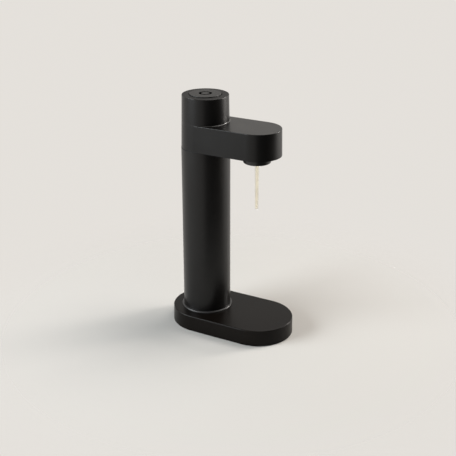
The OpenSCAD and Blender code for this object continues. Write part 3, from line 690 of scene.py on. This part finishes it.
@dataclass(frozen=True)
class Translucent(Finish):
    """Natural plastic that lets light through, as the carbonating lance is made of."""

    colour: Colour = (0.998, 0.965, 0.87, 1.0)
    rough: float = 0.24
    bend: float = 1.16
    clear: float = 0.93
    gloss: float = 0.8
    gloss_rough: float = 0.10
    flow: float = 1.6 * MM
    flow_gain: float = 0.97
    flow_rough: float = 0.08
    along: Point = (1.0, 1.0, 0.05)

    def shade(self, g: Graph) -> Val:
        """Frosted ivory plastic under a thin gloss, with faint flow lines along its length.

        Args:
            g: Graph of the material.

        Returns:
            The shader.
        """
        flow = g.noise(g.stretched(g.place(), self.along), self.flow)
        return g.surface({
            "Base Color": g.blend(flow, self.colour, lit(self.colour, self.flow_gain)),
            "Roughness": self.rough + flow.swing(self.flow_rough),
            "IOR": self.bend,
            "Transmission Weight": self.clear,
            "Coat Weight": self.gloss,
            "Coat Roughness": self.gloss_rough,
        })


@dataclass(frozen=True)
class Enamel(Finish):
    """Stove enamel of the gas cylinder: orange peel under gloss, rubbed at the foot."""

    colour: Colour = (0.30, 0.38, 0.45, 1.0)
    primer: Colour = (0.34, 0.34, 0.34, 1.0)
    rough: float = 0.30
    rubbed_h: float = 8 * MM
    rubbed_rough: float = 0.25
    scuff: float = 4 * MM
    scuff_span: Span = (0.45, 0.65)
    peel: float = 1.8 * MM
    peel_rough: float = 0.06
    depth: float = 0.03 * MM

    def shade(self, g: Graph) -> Val:
        """Paint that thins to grey primer below the rubbed height, broken up by noise.

        Args:
            g: Graph of the material.

        Returns:
            The shader.
        """
        place = g.place()
        foot = NodeBox.of("gas_cylinder").foot
        peel = g.noise(place, self.peel)
        low = 1.0 - g.ease(g.axes(place)[2], foot, foot + self.rubbed_h)
        rubbed = low * g.ease(g.noise(place, self.scuff, detail=4.0), *self.scuff_span)
        return g.surface({
            "Base Color": g.blend(rubbed, self.colour, self.primer),
            "Roughness": self.rough + self.rubbed_rough * rubbed + peel.swing(self.peel_rough),
            "Normal": g.bump(peel, self.depth),
        })


BLACK_COAT = MattCoat("black_coat")
TUBE_COAT = TubeCoat("tube_powder_coat")
HEAD_COAT = HeadCoat("head_coat", sheen=0.24, polish=0.22)
# Its colour is a darker, warmer copy of the black coat: painted shade that keeps the whole base darker than the
# head.
BASE_COAT = BaseCoat("base_coat", colour=(0.0040, 0.0029, 0.0022, 1.0), sheen=0.12, polish=0.05)
BUTTON_COAT = ButtonCoat("button_satin", rough=0.50, sheen=0.40, polish=0.3)
MARK_BLACK = MattCoat("mark_black", colour=(0.0040, 0.0038, 0.0037, 1.0), rough=0.8, sheen=0.0)
SOCKET_SATIN = MattCoat("socket_satin", colour=(0.0070, 0.0066, 0.0064, 1.0), rough=0.28, sheen=0.45)
FILLET_SATIN = MattCoat("fillet_satin", polish=1.0)
COLLAR_SATIN = MattCoat("collar_satin", colour=(0.030, 0.029, 0.029, 1.0), rough=0.30, sheen=0.36)
BLACK_STEEL = Metal("black_screw_steel", colour=(0.045, 0.045, 0.048, 1.0), rough=0.38)
ZINC = Metal("zinc_plate")
PLATE_STEEL = Metal("plate_steel", colour=(0.34, 0.35, 0.37, 1.0), rough=0.45, patch=20 * MM)
SPRING_STEEL = Metal("spring_steel", colour=(0.52, 0.53, 0.55, 1.0), rough=0.26)
BRASS = Metal("machined_brass", colour=(0.70, 0.53, 0.25, 1.0), rough=0.26, dull_gain=0.8)
CAST = CastSkin("cast_alloy")
NYLON = Nylon("glass_filled_nylon")
RUBBER = Rubber("moulded_rubber")
LANCE_CLEAR = Translucent("lance_plastic")
ENAMEL = Enamel("cylinder_enamel")


@dataclass(frozen=True)
class Sheet:
    """Grid of points whose rows are rings; the first and last ring may be joined, or be capped."""

    points: np.ndarray
    joined: bool = False
    caps: bool = True

    def faces(self, start: int) -> list[list[int]]:
        """Quads between neighbouring rows and columns, and one face over each open end.

        Args:
            start: Number of the grid's first point in the mesh.

        Returns:
            Corner numbers of each face.
        """
        rows, columns = self.points.shape[:2]
        last = rows if self.joined else rows - 1
        i, j = np.meshgrid(np.arange(last), np.arange(columns), indexing="ij")
        below, beside = (i + 1) % rows, (j + 1) % columns
        corners = (i * columns + j, below * columns + j, below * columns + beside, i * columns + beside)
        made = (start + np.stack(corners, axis=-1).reshape(-1, 4)).tolist()
        if self.caps and not self.joined:
            first = start + np.arange(columns)
            made += [first.tolist(), (first + (rows - 1) * columns)[::-1].tolist()]
        return made


def around(centre: Spot, radius: np.ndarray, turn: np.ndarray, z: np.ndarray) -> np.ndarray:
    """Points of a grid that is given by radius, angle and height.

    Args:
        centre: X and Y of the upright axis.
        radius: Distance from the axis.
        turn: Angle about the axis.
        z: Height.

    Returns:
        X, Y and Z of each point, with the three spread to one grid.
    """
    x, y = centre[0] + radius * np.cos(turn), centre[1] + radius * np.sin(turn)
    return np.stack(np.broadcast_arrays(x, y, z), axis=-1)


def smooth(share: np.ndarray) -> np.ndarray:
    """Share eased at both ends, as share squared times (3 - 2 share)."""
    return share * share * (3 - 2 * share)


def mesh_piece(
    name: str, sheets: Sequence[Sheet], finish: Finish, body: Body = Body.FRAME
) -> bpy.types.Object:
    """Turn grids into one dressed piece that rides on a body.

    Args:
        name: Name of the piece.
        sheets: Grids that together make its closed surface or surfaces.
        finish: Finish that it wears.
        body: Body that it rides on.

    Returns:
        The new object, at the origin, with its place in its mesh.
    """
    faces: list[list[int]] = []
    start = 0
    for sheet in sheets:
        faces += sheet.faces(start)
        start += sheet.points.shape[0] * sheet.points.shape[1]
    mesh = bpy.data.meshes.new(name)
    mesh.from_pydata(np.concatenate([s.points.reshape(-1, 3) for s in sheets]).tolist(), [], faces)
    work = bmesh.new()
    work.from_mesh(mesh)
    bmesh.ops.recalc_face_normals(work, faces=work.faces)
    work.to_mesh(mesh)
    work.free()
    mesh.polygons.foreach_set("use_smooth", np.ones(len(mesh.polygons), bool))
    mesh.set_sharp_from_angle(angle=SHARP_ANGLE)
    mesh.materials.append(finish.material())
    made = bpy.data.objects.new(name, mesh)
    bpy.context.scene.collection.objects.link(made)
    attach(made, body.value)
    LOG.info("piece %s: %d faces on %s", name, len(mesh.polygons), body.value)
    return made


@dataclass(frozen=True)
class Coil:
    """Spring of round wire, on the helix of the CAD node's six-sided wire, which it replaces."""

    node: str
    joint: Joint
    radius: float
    wire: float
    turns: int = 5
    eased: float = 0.25
    steps_per_turn: int = 40
    sides: int = 10

    def build(self) -> bpy.types.Object:
        """Carry a circle of the wire along a helix that rises more slowly at its ends.

        With u from 0 to 1 along the wire, the eased share of the height follows u squared times
        (3 - 2 u) and the rest follows u. The circle stands upright, in a plane through the axis.

        Returns:
            The spring.
        """
        room = NodeBox.of(self.node)
        u = np.linspace(0.0, 1.0, self.turns * self.steps_per_turn + 1)[:, None]
        v = np.linspace(0.0, TURN, self.sides, endpoint=False)[None, :]
        rise = (room.top - room.foot - self.wire) * (self.eased * smooth(u) + (1 - self.eased) * u)
        points = around(
            room.middle,
            self.radius + self.wire / 2 * np.cos(v),
            TURN * self.turns * u,
            room.foot + self.wire / 2 + rise + self.wire / 2 * np.sin(v),
        )
        made = mesh_piece(self.node + "_wire", [Sheet(points)], SPRING_STEEL)
        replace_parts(made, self.node)
        facts = self.joint.facts()
        keep = 1 - facts["range_m"][1] / (room.top - room.foot)
        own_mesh(made)
        return made


@dataclass(frozen=True)
class FlushScrews:
    """Countersunk screws with a six-sided recess, set flush and pointing up."""

    node: str
    places: tuple[Spot, ...]
    head_r: float = 2.7 * MM
    edge: float = 0.1 * MM
    shank_r: float = 1.5 * MM
    tip_h: float = 0.3 * MM
    tip_shares: Span = (0.9, 0.55)
    recess_across: float = 2.0 * MM
    recess_depth: float = 0.9 * MM
    recess_edge: float = 0.08 * MM
    recess_flare: float = 1.08
    drill_r: float = 0.2 * MM
    drill_h: float = 0.135 * MM
    pitch: float = 0.8 * MM
    thread_deep: float = 0.16 * MM
    sides: int = 48

    def profile(self, length: float) -> np.ndarray:
        """Radius and height of each ring, from the head's edge up the cone to the thread's end.

        The thread is a row of ridges, one a pitch, drawn as rings.

        Args:
            length: Length of the screw.

        Returns:
            Pairs of radius and height.
        """
        neck = self.head_r - self.shank_r
        ridges = np.arange(neck + self.pitch, length - self.pitch, self.pitch / 2)
        swing = np.where(np.arange(len(ridges)) % 2 == 0, 0.0, self.thread_deep)
        head = [[self.head_r - self.edge, 0.0], [self.head_r, self.edge], [self.shank_r, neck]]
        thread = np.stack([self.shank_r - swing, ridges], axis=1).tolist()
        shoulder, end = (self.shank_r * share for share in self.tip_shares)
        tip = [[shoulder, length - self.tip_h], [end, length]]
        return np.array(head + thread + tip)

    def one(self, place: Spot, room: NodeBox) -> Sheet:
        """One screw as a grid of rings by angle.

        The recess's radius at an angle is half its width across, divided by the cosine of the
        angle from the middle of the nearest side. Its floor runs in to a small circle.

        Args:
            place: X and Y of the screw's axis.
            room: Box of the CAD node, which gives the head's face and the length.

        Returns:
            The screw's closed surface.
        """
        angle = np.linspace(0.0, TURN, self.sides, endpoint=False)
        six = self.recess_across / 2 / np.cos((angle + math.pi / 6) % (math.pi / 3) - math.pi / 6)
        outer = self.profile(room.top - room.foot)
        radius = np.concatenate([
            np.stack([np.full_like(six, self.drill_r), six, six, six * self.recess_flare]),
            np.repeat(outer[:, :1], self.sides, axis=1),
        ])
        deep = [self.recess_depth + self.drill_h, self.recess_depth, self.recess_edge, 0.0]
        height = np.concatenate([deep, outer[:, 1]])[:, None]
        return Sheet(around(place, radius, angle, room.foot + height))

    def build(self, finish: Finish, slot: Slot) -> bpy.types.Object:
        """All the screws of the group as one piece, in place of their CAD node.

        Args:
            finish: Finish that the screws wear.
            slot: Material slot of the record; not used.

        Returns:
            The screws.
        """
        room = NodeBox.of(self.node)
        sheets = [self.one(place, room) for place in self.places]
        made = mesh_piece(self.node + "_recessed", sheets, finish)
        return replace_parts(made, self.node)


class Assembly:
    """Sub-assembly of the machine: its CAD nodes wear finishes, and it may add fine pieces."""

    finishes: ClassVar[Mapping[str, Finish]] = {}

    def dress(self) -> None:
        """Give each CAD node of the sub-assembly its finish."""
        for node, finish in self.finishes.items():
            slots = frame["nodes"][node].data.materials
            slots.clear()
            slots.append(finish.material())
            LOG.info("node %s: %s", node, finish.name)

    def add(self) -> None:
        """Add the fine pieces; a sub-assembly without any leaves this as it is."""

    def build(self) -> None:
        """Dress the solids, then add the fine pieces."""
        self.dress()
        self.add()
        LOG.info("%s done", type(self).__name__)


@dataclass(frozen=True)
class Base(Assembly):
    """Weighted base: housing, plate, feet and the screws under it."""

    finishes: ClassVar[Mapping[str, Finish]] = {
        "base_housing": BASE_COAT,
        "base_plate": PLATE_STEEL,
        "rubber_feet": RUBBER,
        "column_foot": CAST,
        "foot_screws": ZINC,
    }
    edge_in: float = 7.6 * MM
    side_back: float = 39 * MM
    pillar_out: float = 5 * MM
    front_turn: float = math.radians(30)

    def screw_places(self) -> tuple[Spot, ...]:
        """Two screws at the sides, two round the front end and three around the column's foot.

        Returns:
            X and Y of each screw's axis.
        """
        ring = BASE_BOX.half[1] - self.edge_in
        side_x = BASE_RUN - self.side_back
        front_x, front_y = BASE_RUN + ring * math.cos(self.front_turn), ring * math.sin(self.front_turn)
        pillar_r = NodeBox.of("column_tube").high[0] - COLUMN_X + self.pillar_out
        pairs = ((side_x, ring), (front_x, front_y), (COLUMN_X, pillar_r))
        both = tuple((x, sign * y) for x, y in pairs for sign in (1, -1))
        return both + ((COLUMN_X - pillar_r, 0.0),)

    def add(self) -> None:
        """Set the screws into the plate."""
        FlushScrews("base_screws", self.screw_places()).build(ZINC, Slot.BRIGHT_STEEL)


@dataclass(frozen=True)
class Column(Assembly):
    """Column tube with its collar, tie rods and the cylinder's guide."""

    finishes: ClassVar[Mapping[str, Finish]] = {
        "column_tube": TUBE_COAT,
        "column_collar": COLLAR_SATIN,
        "tie_rods": ZINC,
        "tie_rod_nuts": ZINC,
        "cylinder_guide": NYLON,
    }


@dataclass(frozen=True)
class GasTrain(Assembly):
    """Gas cylinder with its valve, and the way of the gas to the manifold."""

    finishes: ClassVar[Mapping[str, Finish]] = {
        "gas_cylinder": ENAMEL,
        "cylinder_valve": BRASS,
        "valve_pin": ZINC,
        "cylinder_gasket": RUBBER,
        "valve_block": BRASS,
        "block_screws": ZINC,
        "plunger": ZINC,
        "plunger_oring": RUBBER,
        "gas_elbow": BRASS,
        "gas_tube": ZINC,
        "inlet_nut": BRASS,
        "manifold": BRASS,
    }


@dataclass(frozen=True)
class Head(Assembly):
    """Head housing with its frame, the cover under the arm and the fillet at the drum's foot."""

    finishes: ClassVar[Mapping[str, Finish]] = {
        "head_frame": NYLON,
        "head_housing": HEAD_COAT,
        "housing_screws": ZINC,
        "arm_cover": BLACK_COAT,
    }
    fillet_r: float = 0.9 * MM
    fillet_least: float = 0.05 * MM
    fillet_root: float = 0.2 * MM
    fillet_sweep: float = math.radians(76)
    fillet_fade: float = 0.25
    fillet_steps: int = 161
    fillet_across: int = 9

    def fillet(self) -> bpy.types.Object:
        """Concave corner between the drum's wall and the arm's top.

        Across the corner runs a quarter circle from the arm's top to the drum's wall; its radius
        falls almost to nothing towards the two ends of the sweep. Two more points close each ring
        inside the housing.

        Returns:
            The fillet as a closed piece.
        """
        along = np.linspace(-1.0, 1.0, self.fillet_steps)[:, None]
        fade = np.clip((1 - np.abs(along)) / self.fillet_fade, 0.0, 1.0)
        size = self.fillet_least + self.fillet_r * smooth(fade)
        root = np.full_like(size, -self.fillet_root)
        arc = np.linspace(0.0, math.pi / 2, self.fillet_across)[None, :]
        away = np.concatenate([size * (1 - np.sin(arc)), root, size], axis=1)
        rise = np.concatenate([size * (1 - np.cos(arc)), root, root], axis=1)
        points = around(
            (COLUMN_X, 0.0),
            HEAD_FORM.wall_r(HEAD_FORM.arm_top) + away,
            self.fillet_sweep * along,
            HEAD_FORM.arm_top + rise,
        )
        return mesh_piece("drum_fillet", [Sheet(points)], FILLET_SATIN)

    def add(self) -> None:
        """Lay in the fillet, and set the cover's two screws half a head in from their box's ends."""
        self.fillet()
        room = NodeBox.of("cover_screws")
        x, y = room.middle[0], room.half[1] - room.half[0]
        FlushScrews("cover_screws", ((x, y), (x, -y))).build(BLACK_STEEL, Slot.BLACK_SCREW)


@dataclass(frozen=True)
class Button(Assembly):
    """Push button with its spring and the lever that passes its stroke to the valve."""

    finishes: ClassVar[Mapping[str, Finish]] = {
        "button_cap": BUTTON_COAT,
        "lever": ZINC,
        "lever_pin": ZINC,
        "lever_bracket": ZINC,
        "bracket_screws": ZINC,
    }
    spring: Coil = Coil("button_spring", Joint.BUTTON, radius=25.8 * MM, wire=1.6 * MM)
    mark_r: float = 11 * MM
    mark_w: float = 4.2 * MM
    mark_gap: float = 0.05 * MM
    mark_foot: float = 0.5 * MM
    mark_sunk: float = 0.1 * MM
    mark_crown: float = 0.15 * MM
    mark_steps: int = 96
    mark_across: int = 7

    def mark(self) -> bpy.types.Object:
        """Plain ring laid into the groove on the button's top.

        A flat oblong is carried round the button's axis. Its top is crowned, and falls towards both
        edges with the fourth power of the place across.

        Returns:
            The ring as a closed piece.
        """
        inner, outer = self.mark_r - self.mark_w + self.mark_gap, self.mark_r - self.mark_gap
        across = np.linspace(0.0, 1.0, self.mark_across)
        crown = CAP_TOP - self.mark_sunk - self.mark_crown * (2 * across - 1) ** 4
        low = CAP_TOP - self.mark_foot
        radius = np.concatenate([inner + (outer - inner) * across, [outer, inner]])
        height = np.concatenate([crown, [low, low]])
        turn = np.linspace(0.0, TURN, self.mark_steps, endpoint=False)[:, None]
        sheet = Sheet(around((COLUMN_X, 0.0), radius, turn, height), joined=True)
        return mesh_piece("button_mark", [sheet], MARK_BLACK, Body.BUTTON)

    def add(self) -> None:
        """Lay in the button's mark and wind its spring."""
        self.mark()
        self.spring.build()


@dataclass(frozen=True)
class SocketSide(Assembly):
    """Socket with its thread and seal, the lance and the relief valve."""

    finishes: ClassVar[Mapping[str, Finish]] = {
        "bottle_socket": SOCKET_SATIN,
        "socket_screws": ZINC,
        "bottle_seal": RUBBER,
        "lance": LANCE_CLEAR,
        "lance_oring": RUBBER,
        "relief_body": BRASS,
        "relief_poppet": RUBBER,
    }
    seal_gap: float = 0.05 * MM
    thread_end: float = 2.5 * MM
    thread_turns: float = 2.5
    thread_deep: float = 1.1 * MM
    thread_least: float = 0.1 * MM
    thread_half: float = 1.1 * MM
    thread_root: float = 0.3 * MM
    thread_fade: float = 0.08
    thread_steps: int = 181
    thread_across: int = 9
    relief: Coil = Coil("relief_spring", Joint.RELIEF, radius=3.3 * MM, wire=0.7 * MM)

    def thread(self) -> bpy.types.Object:
        """Thread in the socket's bore.

        A rounded ridge, one less the cube of the place across it, is carried up a helix on the
        bore's wall between the socket's mouth and the seal; its depth runs out at both ends.

        Returns:
            The thread as a closed piece, rooted a little way into the wall.
        """
        seal = NodeBox.of("bottle_seal")
        low, high = NodeBox.of("bottle_socket").foot + self.thread_end, seal.foot - self.thread_end
        u = np.linspace(0.0, 1.0, self.thread_steps)[:, None]
        fade = np.clip(np.minimum(u, 1 - u) / self.thread_fade, 0.0, 1.0)
        deep = self.thread_least + self.thread_deep * smooth(fade)
        across = np.linspace(-1.0, 1.0, self.thread_across)[None, :]
        root = np.full_like(u, self.thread_root)
        away = np.concatenate([-deep * (1 - np.abs(across) ** 3), root, root], axis=1)
        up = self.thread_half * np.append(across, [[1.0, -1.0]], axis=1)
        points = around(
            (SOCKET_X, 0.0),
            seal.half[1] + self.seal_gap + away,
            TURN * self.thread_turns * u,
            low + (high - low) * u + up,
        )
        return mesh_piece("socket_thread", [Sheet(points)], SOCKET_SATIN)

    def add(self) -> None:
        """Raise the socket's thread and wind the relief spring."""
        self.thread()
        self.relief.build()


@dataclass(frozen=True)
class FloorFinish(Finish):
    """Pale warm floor that fades into the room, clear from below so that the underside shows."""

    colour: Colour = (0.75, 0.727, 0.69, 1.0)
    rough: float = 0.85
    sheen: float = 0.2
    cloud: float = 0.5
    cloud_gain: float = 0.97
    fade: Span = (0.15, 0.55)

    def shade(self, g: Graph) -> Val:
        """Dull pale paint; it clears with the distance from the middle, and for rays from below.

        Args:
            g: Graph of the material.

        Returns:
            The shader.
        """
        place = g.place()
        x, y, _ = g.axes(place)
        paint = g.surface({
            "Base Color": g.blend(g.noise(place, self.cloud), self.colour, lit(self.colour, self.cloud_gain)),
            "Roughness": self.rough,
            "Specular IOR Level": self.sheen,
        })
        below = g.out(g.node("ShaderNodeNewGeometry"), "Backfacing")
        gone = g.most(below, g.ease(g.away(x, y), *self.fade))
        clear = g.out(g.node("ShaderNodeBsdfTransparent"))
        return g.out(g.node("ShaderNodeMixShader", None, {0: gone, 1: paint, 2: clear}))


@dataclass(frozen=True)
class SoftLight:
    """Large soft lamp that looks at the object."""

    name: str
    place: Point
    size: Spot
    watts: float
    colour: Point
    aim: Point = (0.0, 0.0, 0.2)

    def build(self) -> None:
        """Hang the lamp, hidden from the camera."""
        lamp = bpy.data.lights.new(self.name, "AREA")
        lamp.shape = "RECTANGLE"
        lamp.size, lamp.size_y = self.size
        lamp.energy = self.watts
        lamp.color = self.colour
        made = bpy.data.objects.new(self.name, lamp)
        bpy.context.scene.collection.objects.link(made)
        made.location = self.place
        x, y, z = np.array(self.aim) - np.array(self.place)
        made.rotation_euler = (math.atan2(math.hypot(x, y), -z), 0.0, math.atan2(-x, y))
        made.visible_camera = False
        LOG.info("lamp %s: %.0f W", self.name, self.watts)


@dataclass(frozen=True)
class Studio:
    """Floor, room light and lamps."""

    floor_r: float = 0.6
    floor_rows: tuple[float, ...] = (0.0, 0.02, 0.08, 0.2, 0.5, 1.0)
    floor_steps: int = 192
    floor_under: float = 11.5 * MM
    floor_steep: float = 8.0
    pale: Colour = (0.78, 0.75, 0.71, 1.0)
    dim: Colour = (0.10, 0.095, 0.09, 1.0)
    dim_way: Point = (0.927, -0.375, 0.0)
    dim_span: Span = (0.56, 0.74)
    lamps: tuple[SoftLight, ...] = (
        SoftLight("left_window", (-1.55, -1.80, 0.95), (1.8, 1.4), 84.0, (0.90, 0.96, 1.0)),
        SoftLight("right_key", (1.1, 1.4, 3.0), (2.2, 2.2), 60.0, (1.0, 0.97, 0.93)),
        SoftLight("right_strip", (1.55, 1.70, 0.55), (0.5, 1.0), 46.0, (1.0, 0.95, 0.90)),
    )

    def floor(self) -> None:
        """Flat floor around an opening that the base covers.

        Rows go out from the opening to a far circle. The opening is the base's plan drawn in: a
        circle whose points move along X with the steepened cosine of their angle, by the base's run
        at most.
        """
        angle = np.linspace(0.0, TURN, self.floor_steps, endpoint=False)
        way = np.stack([np.cos(angle), np.sin(angle)], axis=-1)
        near = (BASE_BOX.half[1] - self.floor_under) * way
        near[:, 0] += BASE_RUN * np.clip(self.floor_steep * way[:, 0], -1, 1)
        share = np.array(self.floor_rows)[:, None, None]
        flat = near + share * (self.floor_r * way - near)
        points = np.concatenate([flat, np.zeros_like(flat[..., :1])], axis=-1)
        mesh = bpy.data.meshes.new("floor")
        mesh.from_pydata(points.reshape(-1, 3).tolist(), [], Sheet(points, caps=False).faces(0))
        mesh.materials.append(FloorFinish("floor_paint").material())
        made = bpy.data.objects.new("floor", mesh)
        bpy.context.scene.collection.objects.link(made)

    def room(self) -> None:
        """Room light: dim where it only fills shadows, pale where it is seen or mirrored.

        One side of the room stays dim in mirrored light too, and gives the dark coats their shape:
        its share eases from none to full with the cosine between its direction and the ray.
        """
        world = bpy.data.worlds.new("room")
        world.use_nodes = True
        bpy.context.scene.world = world
        g = Graph(world.node_tree)
        way = g.out(g.node("ShaderNodeTexCoord"), "Generated")
        side = g.ease(g.dot(way, self.dim_way), *self.dim_span)
        path = g.node("ShaderNodeLightPath")
        seen = g.most(g.out(path, "Is Camera Ray"), g.out(path, "Is Transmission Ray"))
        seen = g.most(seen, g.out(path, "Is Glossy Ray") * (1.0 - side))
        light = g.node("ShaderNodeBackground", None, {
            "Color": g.blend(seen, self.dim, self.pale),
            "Strength": 1.0,
        })
        g.node("ShaderNodeOutputWorld", None, {"Surface": g.out(light)})

    def build(self) -> None:
        """Set the floor, the room's light and the lamps."""
        bpy.context.scene.view_settings.view_transform = "Standard"
        self.floor()
        self.room()
        for lamp in self.lamps:
            lamp.build()


@dataclass(frozen=True)
class Viewpoint:
    """Camera at the photograph's viewing angle, with its focal length in pixels."""

    place: Point = (0.6855, -1.2694, 0.7800)
    turn: float = math.radians(28.68)
    tilt: float = math.radians(22.51)
    focal_px: float = 919.0
    picture_px: float = 456.0
    sensor_mm: float = 36.0
    far: float = 50.0

    def build(self) -> None:
        """Make the scene's camera; lens to sensor is as the focal length to the picture's width."""
        lens = bpy.data.cameras.new("view")
        lens.sensor_width = self.sensor_mm
        lens.lens = self.sensor_mm * self.focal_px / self.picture_px
        lens.clip_end = self.far
        made = bpy.data.objects.new("view", lens)
        bpy.context.scene.collection.objects.link(made)
        made.location = self.place
        made.rotation_euler = (math.pi / 2 - self.tilt, 0.0, self.turn)
        bpy.context.scene.camera = made


def main() -> None:
    """Build the camera, the studio and each sub-assembly in order."""
    logging.basicConfig(level=logging.INFO, format="%(name)s: %(message)s")
    Viewpoint().build()
    Studio().build()
    for assembly in (Base(), Column(), GasTrain(), Head(), Button(), SocketSide()):
        assembly.build()


if __name__ == "__main__":
    main()
